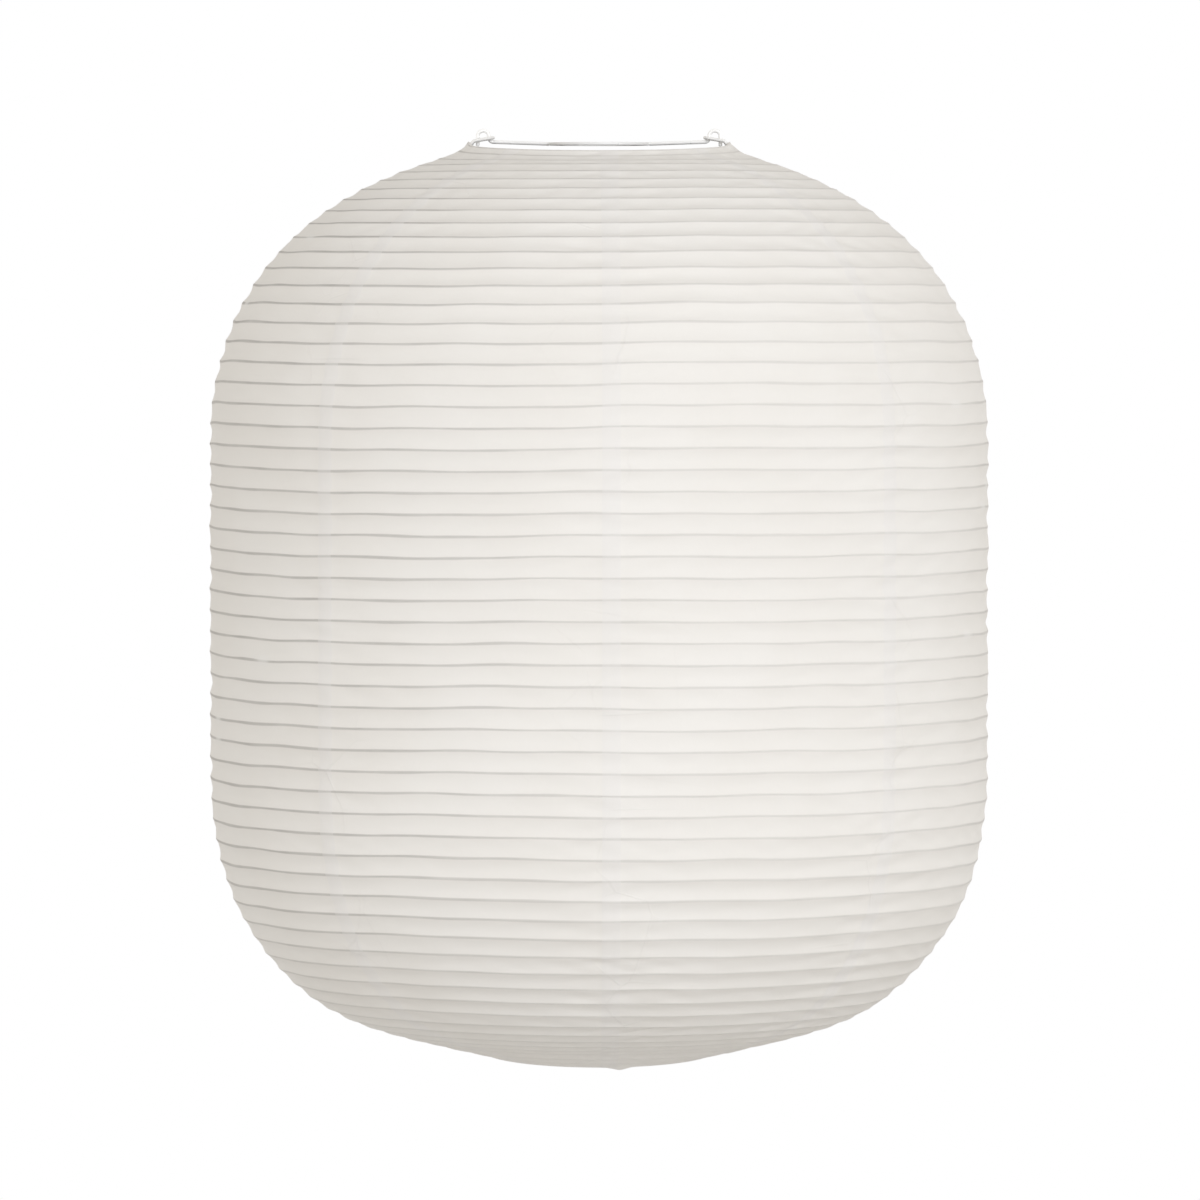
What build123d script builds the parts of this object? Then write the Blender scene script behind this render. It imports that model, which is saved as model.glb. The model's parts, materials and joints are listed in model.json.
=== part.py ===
from build123d import *
from math import atan, degrees, exp, hypot
import os

# Accordion paper lantern: a tall rounded shade of eight paper gores on 57 wire hoops.
# The hoops hang between a top ring and a bottom ring, and a sprung wire frame spreads the two.
# Millimetres, +Z up. The origin is the centre of the lampholder collar, on the crossbar's line.
# X runs along the crossbar, so the two frame legs stand at +X and -X, and the front is -Y.

# ---- driving dimensions --------------------------------------------------------------------

SHADE_RADIUS = 209.8        # outside of the paper at the widest hoop

TOP_CAP_Z = -163.0          # level where the straight side meets the top cap
TOP_CAP_RISE = 165.0        # height of the top cap's full curve above that level
TOP_CAP_POWER = 2.28        # 2 is an ellipse, more is boxier
BOTTOM_CAP_Z = -325.7
BOTTOM_CAP_DROP = 165.5
BOTTOM_CAP_POWER = 2.60
BELLY = 2.5                 # the lower corner is rounded out by this much
BELLY_RADIUS = 147.0
BELLY_WIDTH = 30.0

NECK_RADIUS = 70.0          # where the paper's curve starts, beside the top ring
NECK_REACH = 95.0           # inside this radius the caps are pulled out of their plain curve
NECK_LIFT = 3.2             # how far the frame lifts the paper beside the top ring
NECK_SAG_SHARE = 1.25       # how quickly the hoops beside the top ring take on its sag
FOOT_DROP = 3.0             # how far the hoops beside the bottom ring hang down, front and back

FIRST_HOOP_AT = 5.5         # along the paper's curve, from the neck to the first hoop
HOOP_PITCH = 11.2           # along the paper's curve, from hoop to hoop
MOVING_HOOPS = 52           # each one slides on its own
UNDERSIDE_HOOPS = 5         # nearly flat under the shade, they move with the bottom ring
HOOP_WIRE = 1.0             # diameter

PAPER = 0.2                 # thickness of the gores
PAPER_GAP = 0.5             # from the hoops to the gores
GORES = 8
GORE_SEAM = 0.25            # degrees left open between two gores
GORE_TURN = 1.0             # degrees that the seams are turned from the front
GORE_TOP_MARGIN = 2.5       # the gores stop this far short of the top ring
GORE_BOTTOM_MARGIN = 0.5
GORE_POINTS = 60            # spans of the gore's outline

RING_WIRE = 2.0             # diameter of the end rings and of the frame
TOP_RING_RADIUS = 69.8      # to the middle of the wire
TOP_RING_SIDE_Z = -1.8      # at the ears
TOP_RING_SAG = 3.6          # lower than that at front and back
BOTTOM_RING_RADIUS = 62.5
BOTTOM_RING_SIDE_Z = -487.4
BOTTOM_RING_SAG = 3.5

EAR_WIRE = 1.8              # a U of wire on the top ring at each side
EAR_HALF_WIDTH = 3.1
EAR_TIP_X = 56.9
EAR_TIP_Z = 3.3
EAR_SHOULDER_X = 67.4
EAR_SHOULDER_Z = 1.5
EAR_ROOT_BEND = 2.0
EAR_INSET = 0.1             # the ear's ends are sunk this far into the ring

COLLAR_BORE_RADIUS = 20.5   # takes a 40 mm lampholder
COLLAR_OUTER_RADIUS = 27.0
COLLAR_THICKNESS = 1.6
COLLAR_EDGE = 0.25          # rounding of its edges

ARCH_INNER_X = 59.2         # the arch stands up through the ear
ARCH_OUTER_X = 65.2
ARCH_TOP_Z = 7.1
CROSSBAR_END_Z = 1.1        # the crossbar rises towards its ends
CROSSBAR_BEND = 2.4
CROSSBAR_INSET = 0.3        # the crossbar's ends start this far inside the collar's rim
ARCH_BEND = 2.95

HINGE_Z = -2.2              # where the leg starts to bend below the arch
HINGE_GAP = 0.1
LEG_SHOULDER_Z = -7.0
LEG_WAIST_Z = -45.0
LEG_X = 57.0
LEG_SHOULDER_BEND = 15.0
LEG_WAIST_BEND = 60.0
FOOT_CLEARANCE = 0.25       # between the foot and the bottom ring
FOOT_TIP_X = 65.0
FOOT_BEND = 4.0
LEG_END_ROUNDING = 0.9      # share of the wire's radius rounded off at the leg's top end


# ---- the paper's outline -------------------------------------------------------------------

def neck_share(radius):
    """1 at the end rings, falling to 0 where the caps are plain."""
    return max(0.0, (NECK_REACH - radius) / (NECK_REACH - NECK_RADIUS))


def cap_height(radius, power):
    """Share of a cap's full height at this radius."""
    return (1 - (radius / SHADE_RADIUS) ** power) ** (1 / power)


def top_cap_z(radius):
    return TOP_CAP_Z + TOP_CAP_RISE * cap_height(radius, TOP_CAP_POWER)


def bottom_cap_z(radius):
    belly = BELLY * exp(-((radius - BELLY_RADIUS) / BELLY_WIDTH) ** 2)
    return BOTTOM_CAP_Z - BOTTOM_CAP_DROP * cap_height(radius, BOTTOM_CAP_POWER) - belly


def plain_outline(steps=1500):
    """Fine points (radius, z) down the outside of the paper, from the neck to the bottom ring."""
    top = []
    bottom = []
    for i in range(steps + 1):
        share = (i / steps) ** 2
        top_radius = SHADE_RADIUS - (SHADE_RADIUS - NECK_RADIUS) * share
        top.append((top_radius, top_cap_z(top_radius)))
        bottom_radius = SHADE_RADIUS - (SHADE_RADIUS - BOTTOM_RING_RADIUS - RING_WIRE) * share
        bottom.append((bottom_radius, bottom_cap_z(bottom_radius)))
    return top[::-1] + bottom


def lengths_along(points):
    total = 0.0
    lengths = [0.0]
    for (r0, z0), (r1, z1) in zip(points, points[1:]):
        total += hypot(r1 - r0, z1 - z0)
        lengths.append(total)
    return lengths


OUTLINE = plain_outline()
LENGTHS = lengths_along(OUTLINE)


def outline_at(distance):
    """Point and outward normal of the paper at a distance along its curve from the neck."""
    i = 1
    while i < len(LENGTHS) - 1 and LENGTHS[i] < distance:
        i += 1
    (r0, z0), (r1, z1) = OUTLINE[i - 1], OUTLINE[i]
    span = LENGTHS[i] - LENGTHS[i - 1]
    share = (distance - LENGTHS[i - 1]) / span
    normal = ((z0 - z1) / span, (r1 - r0) / span)
    return (r0 + (r1 - r0) * share, z0 + (z1 - z0) * share), normal


# ---- wires ---------------------------------------------------------------------------------

def swept_wire(points, bends, diameter):
    """Round wire along straight runs joined by arcs."""
    path = FilletPolyline(*points, radius=bends)
    section = Plane(origin=path @ 0, z_dir=path % 0) * Circle(diameter / 2)
    return sweep(section, path=path)


def hoop(radius, side_z, front_z, diameter):
    """Ring about the Z axis. Its front and back halves may be bent down along the X axis."""
    ring = Torus(radius, diameter / 2)
    if abs(front_z - side_z) < 0.01:
        return Pos(0, 0, side_z) * ring
    tilt = degrees(atan((side_z - front_z) / radius))
    half_space = Box(4 * radius, 4 * radius, 4 * radius, align=(Align.CENTER, Align.MAX, Align.CENTER))
    front_half = (Rot(tilt, 0, 0) * ring) & half_space
    back_half = mirror(front_half, about=Plane.XZ)
    return Pos(0, 0, side_z) * (front_half + back_half)


def hoop_levels(index):
    """Radius, side level and front level of hoop 1, 2, 3 ... counted from the top."""
    (radius, z), (out_r, out_z) = outline_at(FIRST_HOOP_AT + HOOP_PITCH * (index - 1))
    inset = PAPER + PAPER_GAP + HOOP_WIRE / 2
    centre_radius = radius - inset * out_r
    centre_z = z - inset * out_z
    share = neck_share(radius)
    if z > TOP_CAP_Z:
        side_z = centre_z + NECK_LIFT * share ** 2
        sag = TOP_RING_SAG * min(1.0, share * NECK_SAG_SHARE)
    else:
        side_z = centre_z
        sag = FOOT_DROP * share
    return centre_radius, side_z, side_z - sag


# ---- sub-parts -----------------------------------------------------------------------------

def top_ring():
    ring = hoop(TOP_RING_RADIUS, TOP_RING_SIDE_Z, TOP_RING_SIDE_Z - TOP_RING_SAG, RING_WIRE)
    half = EAR_HALF_WIDTH
    tip_bend = half - EAR_INSET
    root_x = TOP_RING_RADIUS - EAR_INSET
    ear = swept_wire(
        [
            (root_x, half, TOP_RING_SIDE_Z),
            (EAR_SHOULDER_X, half, EAR_SHOULDER_Z),
            (EAR_TIP_X, half, EAR_TIP_Z),
            (EAR_TIP_X, -half, EAR_TIP_Z),
            (EAR_SHOULDER_X, -half, EAR_SHOULDER_Z),
            (root_x, -half, TOP_RING_SIDE_Z),
        ],
        [EAR_ROOT_BEND, tip_bend, tip_bend, EAR_ROOT_BEND],
        EAR_WIRE,
    )
    return ring + ear + mirror(ear, about=Plane.YZ)


def bottom_ring():
    front_z = BOTTOM_RING_SIDE_Z - BOTTOM_RING_SAG
    return hoop(BOTTOM_RING_RADIUS, BOTTOM_RING_SIDE_Z, front_z, RING_WIRE)


def lampholder_collar():
    disc = Cylinder(COLLAR_OUTER_RADIUS, COLLAR_THICKNESS)
    bore = Cylinder(COLLAR_BORE_RADIUS, 2 * COLLAR_THICKNESS)
    collar = disc - bore
    return fillet(collar.edges(), COLLAR_EDGE)


def crossbar():
    """Two arms, each welded to the collar's rim and bent up through an ear in an arch."""
    start_x = COLLAR_OUTER_RADIUS - CROSSBAR_INSET
    arm = swept_wire(
        [
            (start_x, 0, 0),
            (ARCH_INNER_X, 0, CROSSBAR_END_Z),
            (ARCH_INNER_X, 0, ARCH_TOP_Z),
            (ARCH_OUTER_X, 0, ARCH_TOP_Z),
            (ARCH_OUTER_X, 0, HINGE_Z + RING_WIRE / 2 + HINGE_GAP),
        ],
        [CROSSBAR_BEND, ARCH_BEND, ARCH_BEND],
        RING_WIRE,
    )
    arm -= Cylinder(COLLAR_OUTER_RADIUS, 4 * COLLAR_THICKNESS)
    return Compound(children=[arm, mirror(arm, about=Plane.YZ)])


def right_leg():
    """Long wire leg. Its round top end turns below the arch, its foot bears on the bottom ring."""
    foot_z = BOTTOM_RING_SIDE_Z + RING_WIRE + FOOT_CLEARANCE
    leg = swept_wire(
        [
            (ARCH_OUTER_X, 0, HINGE_Z + RING_WIRE / 2),
            (ARCH_OUTER_X, 0, LEG_SHOULDER_Z),
            (LEG_X, 0, LEG_WAIST_Z),
            (LEG_X, 0, foot_z),
            (FOOT_TIP_X, 0, foot_z),
        ],
        [LEG_SHOULDER_BEND, LEG_WAIST_BEND, FOOT_BEND],
        RING_WIRE,
    )
    top_edge = leg.edges().filter_by(GeomType.CIRCLE).sort_by(Axis.Z)[-1]
    return fillet(top_edge, LEG_END_ROUNDING * RING_WIRE / 2)


def gore_section():
    """Thin closed outline of the paper in the XZ plane, just outside all the hoops."""
    outer = []
    inner = []
    start = GORE_TOP_MARGIN
    stop = LENGTHS[-1] - GORE_BOTTOM_MARGIN
    for i in range(GORE_POINTS + 1):
        (radius, z), (out_r, out_z) = outline_at(start + (stop - start) * i / GORE_POINTS)
        share = neck_share(radius)
        if z > TOP_CAP_Z:
            z += NECK_LIFT * share ** 2
        else:
            z -= FOOT_DROP * share
        outer.append((radius, 0, z))
        inner.append((radius - PAPER * out_r, 0, z - PAPER * out_z))
    edges = [
        Spline(*outer),
        Line(outer[-1], inner[-1]),
        Spline(*inner[::-1]),
        Line(inner[0], outer[0]),
    ]
    return make_face(Wire(edges))


def paper_gores():
    """Eight gores, one solid each, with a narrow seam between neighbours."""
    step = 360 / GORES
    gore = revolve(gore_section(), axis=Axis.Z, revolution_arc=step - GORE_SEAM)
    first_seam = -90 + GORE_TURN + GORE_SEAM / 2
    return Compound(children=[Rot(0, 0, first_seam + step * i) * gore for i in range(GORES)])


# ---- one file for each sub-part ------------------------------------------------------------

parts = {
    "top_ring": top_ring(),
    "bottom_ring": bottom_ring(),
    "lampholder_collar": lampholder_collar(),
    "crossbar_arms": crossbar(),
    "leg_right": right_leg(),
    "leg_left": mirror(right_leg(), about=Plane.YZ),
    "paper_gores": paper_gores(),
}

for number in range(1, MOVING_HOOPS + 1):
    parts[f"rib_{number:02d}"] = hoop(*hoop_levels(number), HOOP_WIRE)

parts["underside_ribs"] = Compound(
    children=[
        hoop(*hoop_levels(MOVING_HOOPS + number), HOOP_WIRE)
        for number in range(1, UNDERSIDE_HOOPS + 1)
    ]
)

os.makedirs("parts", exist_ok=True)
for name, shape in parts.items():
    shape.label = name
    export_step(shape, f"parts/{name}.step")
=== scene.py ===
import json
from math import atan2, cos, hypot, pi, radians, sin
import random

import bpy
import numpy as np
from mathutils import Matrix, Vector


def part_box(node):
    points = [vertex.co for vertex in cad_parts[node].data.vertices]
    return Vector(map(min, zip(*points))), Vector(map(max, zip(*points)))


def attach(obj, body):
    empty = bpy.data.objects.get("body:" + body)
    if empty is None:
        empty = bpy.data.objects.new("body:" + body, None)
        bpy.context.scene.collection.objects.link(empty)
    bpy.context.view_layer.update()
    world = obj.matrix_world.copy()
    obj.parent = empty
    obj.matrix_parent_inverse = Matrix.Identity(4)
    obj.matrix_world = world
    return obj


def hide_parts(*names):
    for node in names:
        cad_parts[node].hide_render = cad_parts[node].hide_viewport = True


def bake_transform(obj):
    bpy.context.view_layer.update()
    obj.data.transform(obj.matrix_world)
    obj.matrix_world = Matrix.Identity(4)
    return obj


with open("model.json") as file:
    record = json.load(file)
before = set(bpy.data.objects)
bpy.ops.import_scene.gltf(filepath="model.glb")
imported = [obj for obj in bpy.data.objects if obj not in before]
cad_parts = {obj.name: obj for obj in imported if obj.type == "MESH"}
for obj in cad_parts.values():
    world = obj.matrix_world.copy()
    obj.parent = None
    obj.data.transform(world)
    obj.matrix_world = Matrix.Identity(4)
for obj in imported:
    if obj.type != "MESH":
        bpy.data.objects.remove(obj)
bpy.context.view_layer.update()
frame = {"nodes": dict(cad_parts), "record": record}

# Accordion paper lantern: creased paper over wavy wire hoops, on a sprung wire frame.
# Metres, +Z up, the front is -Y. Hoop 0 is the top ring, hoop 58 the bottom ring.
# The paper is laid gap by gap, from hoop to hoop.

MM = 0.001
TURN = 2 * pi

# ---- driving values ------------------------------------------------------------------------

GORES = 8
GORE_ANGLE = TURN / GORES
FIRST_SEAM = radians(-90 + 0.44)        # left edge of the front gore's glued strip
STRIP_ARCS = [0, 0.15, 3.3, 6.4, 9.55, 9.7]   # columns across the strip, millimetres
STRIP_LIFT = 0.03                       # a second layer of paper and its glue
GORE_COLUMNS = 50
COLUMNS = GORES * GORE_COLUMNS
ROWS = [0, 0.03, 0.07, 0.14, 0.3, 0.5, 0.7, 0.86, 0.93, 0.97, 1]

RING_WIRE = 2.0                         # diameters, millimetres
HOOP_WIRE = 1.0
GLUE = 0.25                             # from the wire to the outside of the paper
PAPER = 0.1
RIDGE = 0.5                             # how far the paper follows a wire before it falls away
SLACK = 1.0                             # how deep the paper sags between two hoops, on a wall
TOP_SLACK = 0.6                         # and its share of that on a flat slope above the wall
UNDER_SLACK = 0.22                      # and below it
FULL_GAP = 11.2                         # spacing of the hoops along the paper

RING_SPACING = 2.0                      # rings in one node are told apart by this much
FLATTEN = 1.5                           # hoops that lie close together have this much less wave

SHARED_WAVE = 1.5                       # waves that all the hoops have, from folding together
WAVE_DRIFT = 0.028                      # how far these waves turn from one hoop to the next, radians
OWN_WAVE = 0.32                         # a hoop's own waves, up and down
OWN_BEND = 0.35                         # and in and out
COMMON_COUNTS = (2, 3, 5, 9, 14, 22)    # how many of each wave there are round a hoop
OWN_COUNTS = (5, 8, 13, 21, 31)
BEND_COUNTS = (3, 5, 8, 13)
SAG_COUNTS = (2, 3, 7, 12)
SAG_UNEVEN = 0.35                       # share by which the sag changes round a band
SAG_SPREAD = 0.25                       # and from one band to the next
SEAM_STIFF = 0.08                       # the strips sag less
SEAM_STIFF_REACH = 7.0

WRINKLES = 4                            # long diagonal wrinkles in each band, and how many round it
WRINKLE_COUNTS = (11, 46)
WRINKLE_TWIST = 7.0                     # radians, from hoop to hoop
WRINKLE_HEIGHTS = (0.05, 0.13)
WRINKLE_PLAIN = 0.8                     # share of their height away from the strips
WRINKLE_SEAM = 1.6                      # and added beside them
WRINKLE_REACH = 26.0
WRINKLE_RIGHT = 0.3                     # more on the right, less on the left
CREASE_REACH = 24.0

WIRE_STEPS = 320
WIRE_SIDES = 6
LAP = 16.0                              # the two ends of a hoop lie side by side over this length
LAP_ENTRY = 1.5                         # laps over which it moves in
LAP_OFFSET = 1.05                       # wire diameters
TAB = 6.5                               # half the length of the paper tab glued over the lap
TAB_HEIGHT = 2.2
JOINTS = {23: -10, 24: -14, 31: -150, 34: -168}   # degrees, the other joints are round the back

EAR_LIFT = 1.5                          # the hem stands up round the feet of the two ears
EAR_REACH = 9.0
EAR_GAP = 4.4                           # half the width of the opening in the hem at each ear
TIP_DROP = 1.4                          # a loose corner of the hem under the front strip
TIP_AT = 11.0
TIP_WIDTH = 4.5
NECK_HEM_START = radians(215)           # the hems go round the end rings from inside
UNDERSIDE_HEM_END = radians(-235)
MERGE = 0.02                            # rows of points this close are one row

FIRST_UNDERSIDE = 53
dice = random.Random(11)


# ---- hoops, read from the frame ------------------------------------------------------------

def wave_set(counts, height):
    """A few waves round a hoop: (count, height, phase)."""
    share = height / sum(count ** -0.5 for count in counts)
    return [(count, share * count ** -0.5, dice.uniform(0, TURN)) for count in counts]


def wave(waves, angle):
    return sum(height * np.sin(count * angle + phase) for count, height, phase in waves)


class Hoop:
    """A wire ring: radius, its level at the sides and at the front, its wire and its body."""

    def __init__(self, radius, side, front, wire, body):
        self.radius = radius
        self.side = side
        self.front = front
        self.wire = wire
        self.body = body
        self.steady = 0.0
        self.turn = 0.0
        self.own = wave_set(OWN_COUNTS, OWN_WAVE)
        self.bend = wave_set(BEND_COUNTS, OWN_BEND)
        self.joint = radians(dice.uniform(-30, 210))

    def level(self):
        return (self.side + self.front) / 2

    def line(self, angle):
        """Radius and level of the wire's middle at the angles given, metres."""
        level = self.side + (self.front - self.side) * abs(np.sin(angle))
        shift = (wave(COMMON, angle + self.turn) + wave(self.own, angle)) * self.steady * MM
        return self.radius + wave(self.bend, angle) * self.steady * MM, level + shift


COMMON = wave_set(COMMON_COUNTS, SHARED_WAVE)


def rings_of(node, wire, inner=0.0):
    """(radius, side level, front level) of each ring in a CAD node, widest first."""
    mesh = frame["nodes"][node].data
    points = np.empty(len(mesh.vertices) * 3)
    mesh.vertices.foreach_get("co", points)
    points = points.reshape(-1, 3)
    radii = np.hypot(points[:, 0], points[:, 1])
    points = points[radii > inner]
    radii = radii[radii > inner]
    order = np.argsort(radii)
    breaks = np.flatnonzero(np.diff(radii[order]) > RING_SPACING * MM) + 1
    rings = []
    for group in np.split(order, breaks):
        radius = radii[group].max() - wire * MM / 2
        slope, side = np.polyfit(abs(points[group, 1]) / radius, points[group, 2], 1)
        rings.append((radius, side, side + slope))
    return rings[::-1]


def all_hoops():
    """Every hoop from the top ring to the bottom ring."""
    body_of = {n: b for b, nodes in frame["record"]["behaviour"]["bodies"].items() for n in nodes}
    ear_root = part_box("top_ring")[1].x - 1.2 * RING_WIRE * MM
    found = [Hoop(*rings_of("top_ring", RING_WIRE, ear_root)[0], RING_WIRE, "frame")]
    for number in range(1, FIRST_UNDERSIDE):
        node = f"rib_{number:02d}"
        found.append(Hoop(*rings_of(node, HOOP_WIRE)[0], HOOP_WIRE, body_of[node]))
    for ring in rings_of("underside_ribs", HOOP_WIRE):
        found.append(Hoop(*ring, HOOP_WIRE, "bottom"))
    found.append(Hoop(*rings_of("bottom_ring", RING_WIRE)[0], RING_WIRE, "bottom"))
    for above, hoop, below in zip(found, found[1:], found[2:]):
        gap = min(above.level() - hoop.level(), hoop.level() - below.level())
        hoop.steady = min(1.0, gap / (FULL_GAP * MM)) ** FLATTEN
    for index, hoop in enumerate(found):
        hoop.turn = index * WAVE_DRIFT
    for index, degrees_round in JOINTS.items():
        found[index].joint = radians(degrees_round)
    return found


hoops = all_hoops()
LAST = len(hoops) - 1


def outward(index):
    """Outward normal (radial, vertical) of the paper at a hoop."""
    above = hoops[max(index - 1, 0)]
    below = hoops[min(index + 1, LAST)]
    run = below.radius - above.radius
    drop = above.level() - below.level()
    length = hypot(run, drop)
    return drop / length, run / length


def paper_line(index, angle):
    """Radius and level of the paper where it crosses a hoop."""
    hoop = hoops[index]
    lift = (hoop.wire / 2 + GLUE) * MM
    radius, level = hoop.line(angle)
    out_radial, out_vertical = outward(index)
    if index == 0:
        level = level + ear_lift(angle)
    if index == LAST:
        level = level - loose_tip(angle)
    return radius + lift * out_radial, level + lift * out_vertical


def ear_lift(angle):
    """How far the hem stands up beside the ears, metres."""
    arc = np.sin(angle) * hoops[0].radius / MM
    return EAR_LIFT * MM * np.exp(-(arc / EAR_REACH) ** 2)


def loose_tip(angle):
    """How far the hem hangs down under the front strip, metres."""
    arc = (angle + pi / 2) * hoops[LAST].radius / MM
    return TIP_DROP * MM * np.exp(-((arc - TIP_AT) / TIP_WIDTH) ** 2)


def tab_share(index, angle, from_wire):
    """1 on the tab that is glued over a hoop's joint, 0 away from it."""
    hoop = hoops[index]
    middle = hoop.joint + LAP / 2 * MM / hoop.radius
    arc = ((angle - middle + pi) % TURN - pi) * hoop.radius / MM
    return np.exp(-(arc / TAB) ** 4) * np.exp(-(from_wire / TAB_HEIGHT) ** 4)


# ---- mesh helpers --------------------------------------------------------------------------

def start_alone():
    if bpy.context.object and bpy.context.object.mode != "OBJECT":
        bpy.ops.object.mode_set(mode="OBJECT")
    bpy.ops.object.select_all(action="DESELECT")


def pick(*pieces):
    start_alone()
    for piece in pieces:
        piece.select_set(True)
    bpy.context.view_layer.objects.active = pieces[0]


def copy_of(master, name):
    """A copy with its own mesh."""
    piece = master.copy()
    piece.data = master.data.copy()
    piece.name = name
    piece.data.name = name
    bpy.context.scene.collection.objects.link(piece)
    return piece


def points_of(piece):
    points = np.empty(len(piece.data.vertices) * 3)
    piece.data.vertices.foreach_get("co", points)
    return points.reshape(-1, 3)


def place_points(piece, radius, angle, level):
    """Moves every vertex to its place round the Z axis."""
    points = np.stack([radius * np.cos(angle), radius * np.sin(angle), level], axis=1)
    piece.data.vertices.foreach_set("co", points.ravel())
    piece.data.update()


def mark(piece, name, values):
    """A point attribute that the material reads."""
    attribute = piece.data.attributes.new(name, "FLOAT", "POINT")
    attribute.data.foreach_set("value", np.asarray(values, dtype=np.float32))


def thicken(piece, thickness):
    pick(piece)
    wall = piece.modifiers.new("wall", "SOLIDIFY")
    wall.thickness = thickness
    wall.offset = -1
    bpy.ops.object.modifier_apply(modifier=wall.name)


# ---- paper ---------------------------------------------------------------------------------

def master_band():
    """A ring of paper of unit radius and unit height, all its rows extruded downwards."""
    start_alone()
    bpy.ops.mesh.primitive_circle_add(vertices=COLUMNS, radius=1, location=(0, 0, 0))
    band = bpy.context.object
    bpy.ops.object.mode_set(mode="EDIT")
    bpy.ops.mesh.select_all(action="SELECT")
    for above, below in zip(ROWS, ROWS[1:]):
        bpy.ops.mesh.extrude_region_move(TRANSFORM_OT_translate={"value": (0, 0, above - below)})
    bpy.ops.mesh.select_all(action="SELECT")
    bpy.ops.mesh.normals_make_consistent(inside=False)
    bpy.ops.mesh.faces_shade_smooth()
    bpy.ops.object.mode_set(mode="OBJECT")
    return band


band_master = master_band()
flat_points = points_of(band_master)
down = -flat_points[:, 2]                               # 0 at the upper hoop, 1 at the lower
column = np.rint(np.arctan2(flat_points[:, 1], flat_points[:, 0]) / TURN * COLUMNS) % COLUMNS
gore, step = np.divmod(column, GORE_COLUMNS)
LAST_ARC = len(STRIP_ARCS) - 1
on_strip = ((step >= 1) & (step < LAST_ARC)).astype(float)


def column_angles(radius):
    """Angle of each vertex. The columns bunch at the two edges of each seam's strip."""
    across = np.interp(step, range(len(STRIP_ARCS)), STRIP_ARCS) * MM / radius
    edge = STRIP_ARCS[-1] * MM / radius
    spread = edge + (GORE_ANGLE - edge) * (step - LAST_ARC) / (GORE_COLUMNS - LAST_ARC)
    return FIRST_SEAM + gore * GORE_ANGLE + np.where(step <= LAST_ARC, across, spread)


def seam_distance(angle, radius):
    """Distance along the paper from the middle of the nearest strip, millimetres."""
    middle = FIRST_SEAM + STRIP_ARCS[-1] / 2 * MM / radius
    turn = (angle - middle + GORE_ANGLE / 2) % GORE_ANGLE - GORE_ANGLE / 2
    return abs(turn) * radius / MM


def sag_shape(gap):
    """0 on the two hoops, 1 between them, with a soft ridge over each wire."""
    from_wire = np.minimum(down, 1 - down) * gap
    rounded = np.sqrt(from_wire ** 2 + RIDGE ** 2) - RIDGE
    share = rounded / gap
    peak = (np.sqrt(gap ** 2 / 4 + RIDGE ** 2) - RIDGE) / gap
    return share * (1 - share) / (peak * (1 - peak))


def crumple(angle, radius):
    """Long diagonal wrinkles, deeper beside the strips, millimetres."""
    near_seam = np.exp(-(seam_distance(angle, radius) / WRINKLE_REACH) ** 2)
    share = (WRINKLE_PLAIN + WRINKLE_SEAM * near_seam) * (1 + WRINKLE_RIGHT * np.cos(angle))
    total = 0.0
    for _ in range(WRINKLES):
        count = dice.randint(*WRINKLE_COUNTS)
        twist = dice.uniform(-WRINKLE_TWIST, WRINKLE_TWIST)
        phase = dice.uniform(0, TURN)
        height = dice.uniform(*WRINKLE_HEIGHTS)
        total = total + height * np.sin(count * angle + twist * down + phase)
    return total * share * np.sin(pi * down)


def mark_paper(piece, to_wire, angle, radius, tab):
    mark(piece, "to_wire", to_wire)
    mark(piece, "strip", on_strip)
    mark(piece, "near_seam", np.exp(-(seam_distance(angle, radius) / CREASE_REACH) ** 2))
    mark(piece, "tab", tab)


def lay_band(piece, index):
    """Lays a copy of the master band from one hoop to the next, and returns its slope's width."""
    upper = hoops[index]
    lower = hoops[index + 1]
    gap = hypot(lower.radius - upper.radius, upper.level() - lower.level()) / MM
    radius = upper.radius + (lower.radius - upper.radius) * down
    angle = column_angles(radius)
    upper_radius, upper_level = paper_line(index, angle)
    lower_radius, lower_level = paper_line(index + 1, angle)
    upper_out = outward(index)
    lower_out = outward(index + 1)
    out_radial = upper_out[0] + (lower_out[0] - upper_out[0]) * down
    out_vertical = upper_out[1] + (lower_out[1] - upper_out[1]) * down

    on_flat = TOP_SLACK if upper_out[1] > 0 else UNDER_SLACK
    share = on_flat + (1 - on_flat) * upper_out[0]
    depth = SLACK * share * min(1.0, gap / FULL_GAP)
    depth = depth * dice.uniform(1 - SAG_SPREAD, 1 + SAG_SPREAD)
    uneven = wave(wave_set(SAG_COUNTS, SAG_UNEVEN), angle)
    stiff = 1 - SEAM_STIFF * np.exp(-(seam_distance(angle, radius) / SEAM_STIFF_REACH) ** 2)
    sag = depth * (1 + uneven) * stiff * sag_shape(gap)
    push = (STRIP_LIFT * on_strip - sag + crumple(angle, radius)) * MM

    place_points(
        piece,
        upper_radius + (lower_radius - upper_radius) * down + push * out_radial,
        angle,
        upper_level + (lower_level - upper_level) * down + push * out_vertical,
    )
    tab = tab_share(index, angle, down * gap) + tab_share(index + 1, angle, (1 - down) * gap)
    mark_paper(piece, np.minimum(down, 1 - down) * gap, angle, radius, tab)
    return gap * MM


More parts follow.
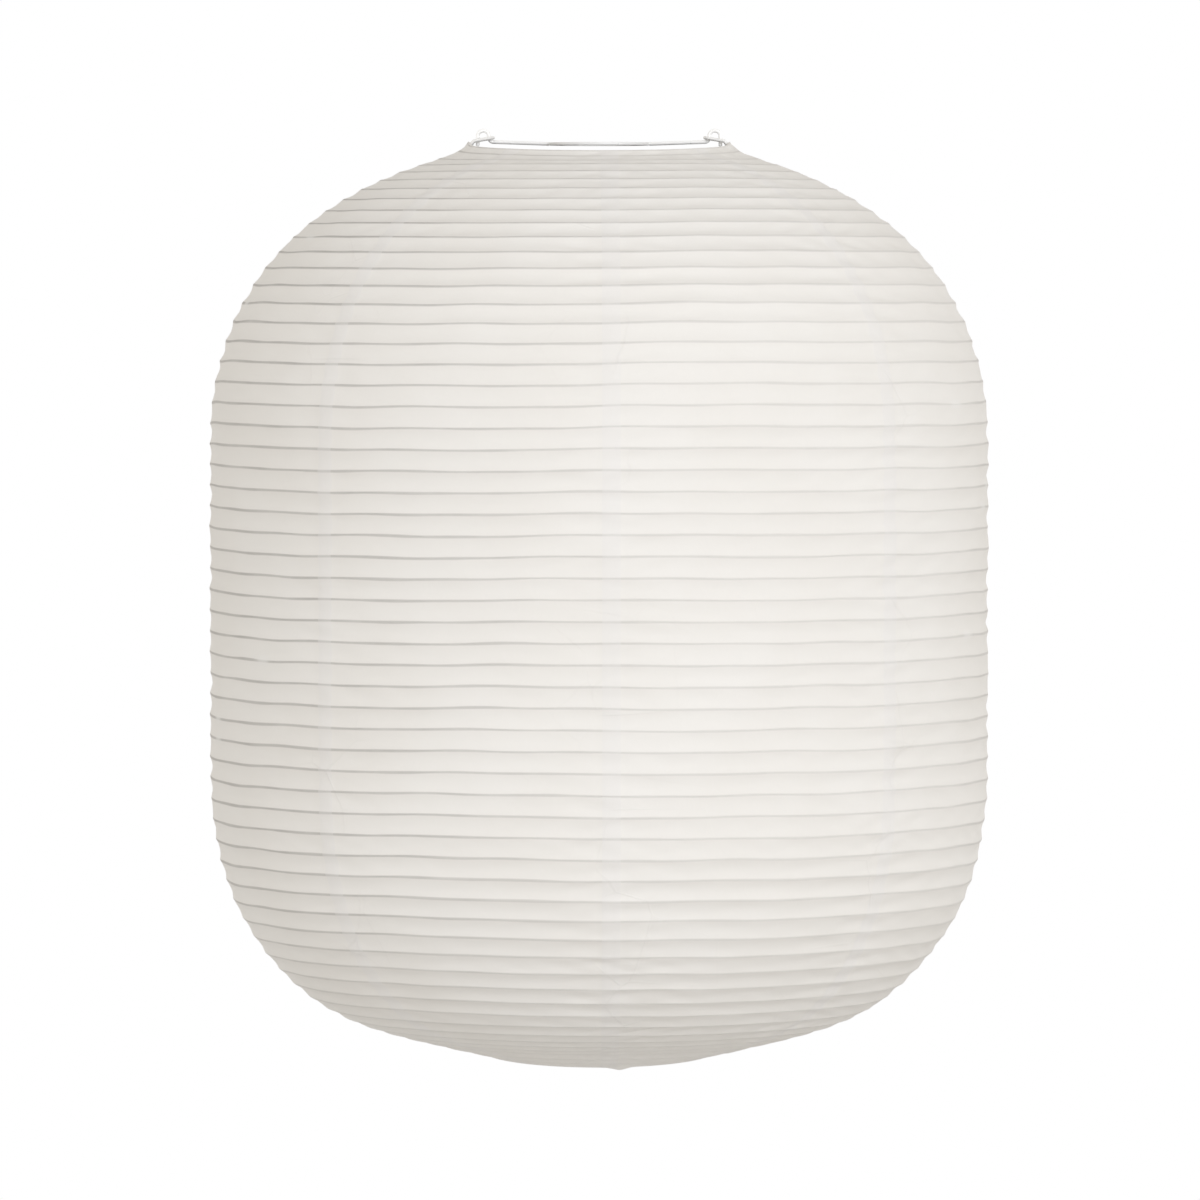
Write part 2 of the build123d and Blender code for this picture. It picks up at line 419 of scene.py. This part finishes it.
def lay_hem(piece, index, start, stop):
    """Lays a copy of the master band round a ring's wire, between two angles of its section."""
    ring = hoops[index]
    angle = column_angles(np.full(len(down), ring.radius))
    radius, level = ring.line(angle)
    section = start + (stop - start) * down
    lift = (ring.wire / 2 + GLUE + STRIP_LIFT * on_strip) * MM
    if index == 0:
        level = level + ear_lift(angle)
    if index == LAST:
        level = level - loose_tip(angle) * (1 - down)
    place_points(piece, radius + lift * np.cos(section), angle, level + lift * np.sin(section))
    clear = np.full(len(down), FULL_GAP)
    mark_paper(piece, clear, angle, ring.radius, np.zeros(len(down)))
    return abs(stop - start) * (ring.wire / 2 + GLUE) * MM


def joined(name, pieces):
    """One piece of paper out of several bands that meet edge to edge."""
    pick(*pieces)
    bpy.ops.object.join()
    bpy.ops.object.mode_set(mode="EDIT")
    bpy.ops.mesh.select_all(action="SELECT")
    bpy.ops.mesh.remove_doubles(threshold=MERGE * MM)
    bpy.ops.mesh.select_all(action="DESELECT")
    bpy.ops.object.mode_set(mode="OBJECT")
    pieces[0].name = name
    pieces[0].data.name = name
    return pieces[0]


def cut_at_ears(piece):
    """Opens the hem where the frame's ears stand up through it."""
    ring = hoops[0]
    reach = ring.radius + 0.2 * MM
    pick(piece)
    bpy.ops.object.mode_set(mode="EDIT")
    bpy.ops.mesh.select_mode(type="FACE")
    bpy.ops.mesh.select_all(action="DESELECT")
    bpy.ops.object.mode_set(mode="OBJECT")
    for face in piece.data.polygons:
        middle = face.center
        face.select = abs(middle.y) < EAR_GAP * MM and hypot(middle.x, middle.y) < reach
    bpy.ops.object.mode_set(mode="EDIT")
    bpy.ops.mesh.delete(type="FACE")
    bpy.ops.object.mode_set(mode="OBJECT")


def declare_paper(area):
    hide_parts("paper_gores")


def ring_area(index):
    """Area of the cone of paper between two hoops."""
    upper = hoops[index]
    lower = hoops[index + 1]
    width = hypot(lower.radius - upper.radius, upper.level() - lower.level())
    return width * pi * (upper.radius + lower.radius)


def hoop_name(index):
    if index == 0:
        return "top_ring"
    if index == LAST:
        return "bottom_ring"
    return f"hoop_{index:02d}"


def neck_paper():
    """The hem over the top ring and the two nearly flat bands beside it."""
    out_radial, out_vertical = outward(0)
    outer = atan2(out_vertical, out_radial)
    hem = copy_of(band_master, "neck_hem")
    hem_width = lay_hem(hem, 0, NECK_HEM_START, outer)
    bands = [copy_of(band_master, f"neck_{index}") for index in range(2)]
    width = sum(lay_band(band, index) for index, band in enumerate(bands)) + hem_width
    piece = joined("neck_paper", [hem, *bands])
    cut_at_ears(piece)
    thicken(piece, PAPER * MM)
    area = ring_area(0) + ring_area(1) + hem_width * TURN * hoops[0].radius
    length = TURN * hoops[2].radius
    declare_paper(area)
    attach(piece, "frame")
    return piece


def underside_paper():
    """The nearly flat paper below the shade and its hem round the bottom ring."""
    out_radial, out_vertical = outward(LAST)
    outer = atan2(out_vertical, out_radial)
    hem = copy_of(band_master, "underside_hem")
    hem_width = lay_hem(hem, LAST, outer, UNDERSIDE_HEM_END)
    gaps = range(FIRST_UNDERSIDE, LAST)
    bands = [copy_of(band_master, f"underside_{index}") for index in gaps]
    width = sum(lay_band(band, index) for index, band in zip(gaps, bands)) + hem_width
    piece = joined("underside_paper", [hem, *bands])
    thicken(piece, PAPER * MM)
    area = sum(ring_area(index) for index in gaps) + hem_width * TURN * hoops[LAST].radius
    length = TURN * hoops[FIRST_UNDERSIDE].radius
    declare_paper(area)
    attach(piece, "bottom")
    return piece


def moving_band(index):
    """The paper between two hoops that close up on each other."""
    piece = copy_of(band_master, f"paper_{index + 1:02d}")
    width = lay_band(piece, index)
    levels = points_of(piece)[:, 2]
    thicken(piece, PAPER * MM)
    length = TURN * max(hoops[index].radius, hoops[index + 1].radius)
    declare_paper(min(ring_area(index), width * length))
    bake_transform(piece)
    return piece


# ---- wires ---------------------------------------------------------------------------------

def master_wire():
    """A thin ring, cut open at one place and closed at its two ends."""
    start_alone()
    bpy.ops.mesh.primitive_torus_add(
        major_segments=WIRE_STEPS, minor_segments=WIRE_SIDES, major_radius=1, minor_radius=0.1
    )
    wire = bpy.context.object
    for face in wire.data.polygons:
        turn = atan2(face.center.y, face.center.x) / TURN * WIRE_STEPS
        face.select = -1 < turn < 0
    bpy.ops.object.mode_set(mode="EDIT")
    bpy.ops.mesh.select_mode(type="FACE")
    bpy.ops.mesh.delete(type="ONLY_FACE")
    bpy.ops.mesh.select_mode(type="VERT")
    bpy.ops.mesh.select_all(action="DESELECT")
    bpy.ops.mesh.select_non_manifold()
    bpy.ops.mesh.fill_holes(sides=0)
    bpy.ops.mesh.select_all(action="SELECT")
    bpy.ops.mesh.faces_shade_smooth()
    bpy.ops.object.mode_set(mode="OBJECT")
    return wire


wire_master = master_wire()
ring_points = points_of(wire_master)
along = np.rint(np.arctan2(ring_points[:, 1], ring_points[:, 0]) / TURN * WIRE_STEPS) % WIRE_STEPS
along = along / (WIRE_STEPS - 1)
section_angle = np.arctan2(ring_points[:, 2], np.hypot(ring_points[:, 0], ring_points[:, 1]) - 1)


def hoop_wire(index):
    """One hoop. Its second end passes inside the first over the lap."""
    hoop = hoops[index]
    piece = copy_of(wire_master, hoop_name(index))
    lap = LAP * MM / hoop.radius
    travel = along * (TURN + lap)
    angle = hoop.joint + travel
    radius, level = hoop.line(angle)
    entering = np.clip((travel - TURN + 2 * lap) / (LAP_ENTRY * lap), 0, 1)
    inside = entering ** 2 * (3 - 2 * entering) * LAP_OFFSET * hoop.wire * MM
    half = hoop.wire / 2 * MM
    place_points(
        piece,
        radius - inside + half * np.cos(section_angle),
        angle,
        level + half * np.sin(section_angle),
    )
    node = f"rib_{index:02d}" if index < FIRST_UNDERSIDE else "underside_ribs"
    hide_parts(node)
    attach(piece, hoop.body)
    return piece


# ---- finishes ------------------------------------------------------------------------------

class Number:
    """A shader socket that takes part in sums."""

    def __init__(self, finish, socket):
        self.finish = finish
        self.socket = socket

    def sum(self, operation, *values):
        sockets = dict(enumerate(values))
        return self.finish.add("Math", {"operation": operation}, sockets)

    def __add__(self, other):
        return self.sum("ADD", self, other)

    __radd__ = __add__

    def __sub__(self, other):
        return self.sum("SUBTRACT", self, other)

    def __rsub__(self, other):
        return self.sum("SUBTRACT", other, self)

    def __mul__(self, other):
        return self.sum("MULTIPLY", self, other)

    __rmul__ = __mul__


class Finish:
    """The nodes of a material or of the sky, and the one way to add to them."""

    def __init__(self, owner, place="Object"):
        self.owner = owner
        owner.use_nodes = True
        self.tree = owner.node_tree
        self.tree.nodes.clear()
        self.place = self.add("TexCoord", output=place)

    def add(self, kind, settings=None, sockets=None, output=0):
        node = self.tree.nodes.new("ShaderNode" + kind)
        for key, value in (settings or {}).items():
            setattr(node, key, value)
        for key, value in (sockets or {}).items():
            if isinstance(value, Number):
                self.tree.links.new(value.socket, node.inputs[key])
            else:
                node.inputs[key].default_value = value
        return Number(self, node.outputs[output]) if output is not None else node

    def attribute(self, name):
        return self.add("Attribute", {"attribute_name": name}, output="Fac")

    def colours(self, share, first, second):
        sockets = {0: share, 6: first, 7: second}
        return self.add("Mix", {"data_type": "RGBA"}, sockets, output=2)

    def ramp(self, value, low, high, at_low=0.0, at_high=1.0):
        """A smooth step from one value to another."""
        sockets = {"Value": value, 1: low, 2: high, 3: at_low, 4: at_high}
        return self.add("MapRange", {"interpolation_type": "SMOOTHSTEP"}, sockets)

    def noise(self, scale, detail=2.0, stretch=None):
        place = self.place
        if stretch:
            place = self.add("Mapping", None, {"Vector": place, "Scale": stretch})
        return self.add("TexNoise", None, {"Vector": place, "Scale": scale, "Detail": detail})

    def bump(self, height, strength, distance):
        return self.add("Bump", None, {"Height": height, "Strength": strength, "Distance": distance})

    def surface(self, shader, kind="Material"):
        self.add("Output" + kind, None, {"Surface": shader}, output=None)
        return self.owner


PAPER_COLOUR = (0.895, 0.872, 0.835, 1)
PAPER_CREAM = (0.872, 0.845, 0.802, 1)
STRIP_COLOUR = (0.850, 0.834, 0.825, 1)
TAB_COLOUR = (0.900, 0.885, 0.855, 1)
# tone of the painted shade over the wires and in the creases
PAINTED_SHADE_COLOUR = (0.510, 0.488, 0.462, 1)
HOOP_COLOUR = (0.74, 0.74, 0.72, 1)
HOOP_SHADE = (0.66, 0.65, 0.62, 1)
RING_COLOUR = (0.84, 0.83, 0.81, 1)
RING_SHADE = (0.74, 0.73, 0.71, 1)
FRAME_COLOUR = (0.96, 0.955, 0.94, 1)
FRAME_SHADE = (0.91, 0.90, 0.885, 1)
RUBBED_COLOUR = (0.55, 0.55, 0.54, 1)
SHINE_THROUGH = 0.18                    # share of the light from behind


def rice_paper():
    """Thin matt paper: fibres, faint clouds, creases, and painted shade where the wires show
    through.
    """
    finish = Finish(bpy.data.materials.new("rice_paper"))
    to_wire = finish.attribute("to_wire")
    strip = finish.attribute("strip")
    clouds = finish.ramp(finish.noise(14, 3), 0.35, 0.65)
    fibres = finish.noise(620, 4, (1, 1, 0.4))
    grain = finish.noise(2300, 1)
    turned = finish.add("Mapping", None, {"Vector": finish.place, "Rotation": (0.5, 0.4, 0.3)})
    cell = finish.add(
        "TexVoronoi", {"feature": "DISTANCE_TO_EDGE"}, {"Vector": turned, "Scale": 26.0}
    )
    some = finish.ramp(finish.noise(19, 1), 0.5, 0.62)
    near_seam = finish.attribute("near_seam")
    tab = finish.attribute("tab")
    creases = finish.ramp(cell, 0.0, 0.02, 1.0, 0.0) * some * (0.12 + near_seam)
    loose = finish.noise(24, 2)
    # Painted shade: a dark line over each wire, where it shows through the paper.
    line = finish.ramp(to_wire + 0.9 * (loose - 0.5), 0.3, 0.95, 1.0, 0.0)
    across = finish.add("SeparateXYZ", None, {"Vector": finish.place}, output="X")
    height = finish.add("SeparateXYZ", None, {"Vector": finish.place}, output="Z")
    # Its strength is painted by place, as the light falls: strong on the left (-X), faint on the
    # right, fainter at the bottom, stronger at the top, varied at random.
    painted_shade_strength = finish.ramp(across, -0.21, 0.09, 0.74, 0.22)
    painted_shade_strength = painted_shade_strength + finish.ramp(across, 0.18, 0.21, 0.0, 0.22)
    painted_shade_strength = painted_shade_strength * finish.ramp(height, -0.5, -0.38, 0.3, 1.0)
    painted_shade_strength = painted_shade_strength * finish.ramp(height, -0.14, -0.02, 1.0, 1.3)
    painted_shade_strength = painted_shade_strength * (0.62 + 0.76 * finish.noise(38, 2)) * (1 - 0.35 * strip) * (1 - 0.7 * tab)

    colour = finish.colours(clouds * 0.6, PAPER_COLOUR, PAPER_CREAM)
    colour = finish.colours(strip * 0.32, colour, STRIP_COLOUR)
    colour = finish.colours(tab * 0.8, colour, TAB_COLOUR)
    colour = finish.colours((fibres - 0.45) * 0.12, colour, (1, 1, 1, 1))
    # painted shade: a soft shadow along the creases
    colour = finish.colours(creases * 0.05, colour, PAINTED_SHADE_COLOUR)
    # painted shade of the wire lines
    colour = finish.colours(line * painted_shade_strength, colour, PAINTED_SHADE_COLOUR)

    relief = fibres * 0.5 + grain * 0.2 + creases * 3.0 + tab * 1.5
    normal = finish.bump(relief, 0.35, 0.00012)
    paper = finish.add(
        "BsdfPrincipled",
        None,
        {
            "Base Color": colour,
            "Roughness": 0.86 + 0.1 * fibres,
            "Normal": normal,
            "Specular IOR Level": 0.25,
            "Sheen Weight": 0.08,
            "Sheen Roughness": 0.6,
        },
    )
    through = finish.add("BsdfTranslucent", None, {"Color": PAPER_COLOUR})
    return finish.surface(finish.add("MixShader", None, {0: SHINE_THROUGH, 1: paper, 2: through}))


def coated_wire(name, colour, shade, roughness, scale):
    """Painted steel wire: a fine orange peel, dust and small rubbed spots."""
    finish = Finish(bpy.data.materials.new(name))
    peel = finish.noise(scale, 2)
    dust = finish.ramp(finish.noise(90, 4), 0.42, 0.68)
    rubbed = finish.ramp(finish.noise(420, 3, (1, 1, 0.35)), 0.66, 0.74)
    tint = finish.colours(dust * 0.5, colour, shade)
    tint = finish.colours(rubbed * 0.35, tint, RUBBED_COLOUR)
    paint = finish.add(
        "BsdfPrincipled",
        None,
        {
            "Base Color": tint,
            "Roughness": roughness + 0.2 * dust - 0.12 * rubbed,
            "Metallic": rubbed * 0.3,
            "Normal": finish.bump(peel, 0.2, 0.00006),
            "Coat Weight": 0.15,
            "Coat Roughness": 0.3,
        },
    )
    return finish.surface(paint)


def dress(piece, material):
    if not piece.material_slots:
        piece.data.materials.append(material)
    for place in piece.material_slots:
        place.link = "OBJECT"
        place.material = material


# ---- stage ---------------------------------------------------------------------------------

FLOOR_COLOUR = (0.87, 0.867, 0.863, 1)
FLOOR_SPECKLE = (0.78, 0.78, 0.78, 1)
FLOOR_LEVEL = -6
FLOOR_SIZE = 64
BACKDROP_AT = (0, 8, -0.6)
BACKDROP_SIZE = 3
CAMERA_DISTANCE = 4.9
CAMERA_SIDE = 0.0005
CAMERA_LEVEL = -0.0624
AIM_LEVEL = -0.2453
CAMERA_LENS = 273.2
HORIZON_LIGHT = (1.060, 1.034, 0.990, 1)   # a warm white tent, darker overhead
ZENITH_LIGHT = (0.570, 0.553, 0.528, 1)
LAMP_DISTANCE = 4.0
LAMP_UNIT = pi ** 2 * LAMP_DISTANCE ** 2   # watts for a surface as bright as a white sky makes it
KEY_TINT = (0.95, 1.0, 1.09)


def plain_stage_material(name, colour, glow):
    finish = Finish(bpy.data.materials.new(name))
    if glow:
        return finish.surface(finish.add("Emission", None, {"Color": colour, "Strength": glow}))
    speckle = finish.noise(8, 3)
    tint = finish.colours(speckle * 0.15, colour, FLOOR_SPECKLE)
    sockets = {"Base Color": tint, "Roughness": 0.8}
    return finish.surface(finish.add("BsdfPrincipled", None, sockets))


def stage_plane(name, size, location, turn, material):
    start_alone()
    bpy.ops.mesh.primitive_plane_add(size=size, location=location, rotation=turn)
    plane = bpy.context.object
    plane.name = name
    dress(plane, material)


def soft_box(name, side, height, size, share):
    """A soft lamp, at so many degrees to the right of the camera and above it."""
    side = radians(side)
    height = radians(height)
    direction = Vector((sin(side) * cos(height), -cos(side) * cos(height), sin(height)))
    location = Vector((0, 0, AIM_LEVEL)) + direction * LAMP_DISTANCE
    bpy.ops.object.light_add(type="AREA", location=location)
    lamp = bpy.context.object
    lamp.name = name
    lamp.data.size = size
    lamp.data.energy = share * LAMP_UNIT
    lamp.data.color = KEY_TINT
    lamp.rotation_euler = direction.to_track_quat("Z", "Y").to_euler()


def studio():
    pale = plain_stage_material("pale_floor", FLOOR_COLOUR, 0)
    white = plain_stage_material("white_backdrop", (1, 1, 1, 1), 1.0)
    stage_plane("floor", FLOOR_SIZE, (0, 0, FLOOR_LEVEL), (0, 0, 0), pale)
    stage_plane("backdrop", BACKDROP_SIZE, BACKDROP_AT, (radians(90), 0, 0), white)

    sky = Finish(bpy.data.worlds.new("studio"), "Generated")
    height = sky.add("SeparateXYZ", None, {"Vector": sky.place}, output="Z")
    tent = sky.colours(sky.ramp(height, 0.0, 1.0), HORIZON_LIGHT, ZENITH_LIGHT)
    glow = sky.add("Background", None, {"Color": tent})
    bpy.context.scene.world = sky.surface(glow, "World")

    soft_box("key", 25, 14, 2.4, 0.40)
    soft_box("fill", -55, 0, 3.0, 0.09)

    bpy.ops.object.camera_add(location=(CAMERA_SIDE, -CAMERA_DISTANCE, CAMERA_LEVEL))
    camera = bpy.context.object
    target = Vector((CAMERA_SIDE, 0, AIM_LEVEL))
    camera.rotation_euler = (target - camera.location).to_track_quat("-Z", "Y").to_euler()
    camera.data.lens = CAMERA_LENS
    camera.data.sensor_width = 36
    camera.data.clip_end = 60
    bpy.context.scene.camera = camera
    bpy.context.scene.view_settings.view_transform = "Standard"


# ---- the lantern ---------------------------------------------------------------------------

wires = [hoop_wire(index) for index in range(1, LAST)]
papers = [neck_paper()]
papers += [moving_band(index) for index in range(2, FIRST_UNDERSIDE)]
papers.append(underside_paper())
for master in (band_master, wire_master):
    bpy.data.objects.remove(master)

paper_finish = rice_paper()
hoop_finish = coated_wire("hoop_wire", HOOP_COLOUR, HOOP_SHADE, 0.42, 2600)
frame_finish = coated_wire("frame_wire", FRAME_COLOUR, FRAME_SHADE, 0.34, 1700)
ring_finish = coated_wire("ring_wire", RING_COLOUR, RING_SHADE, 0.38, 2100)
for piece in papers:
    dress(piece, paper_finish)
for piece in wires:
    dress(piece, hoop_finish)
for node in ("lampholder_collar", "crossbar_arms", "leg_left", "leg_right"):
    dress(frame["nodes"][node], frame_finish)
for node in ("top_ring", "bottom_ring"):
    dress(frame["nodes"][node], ring_finish)

studio()
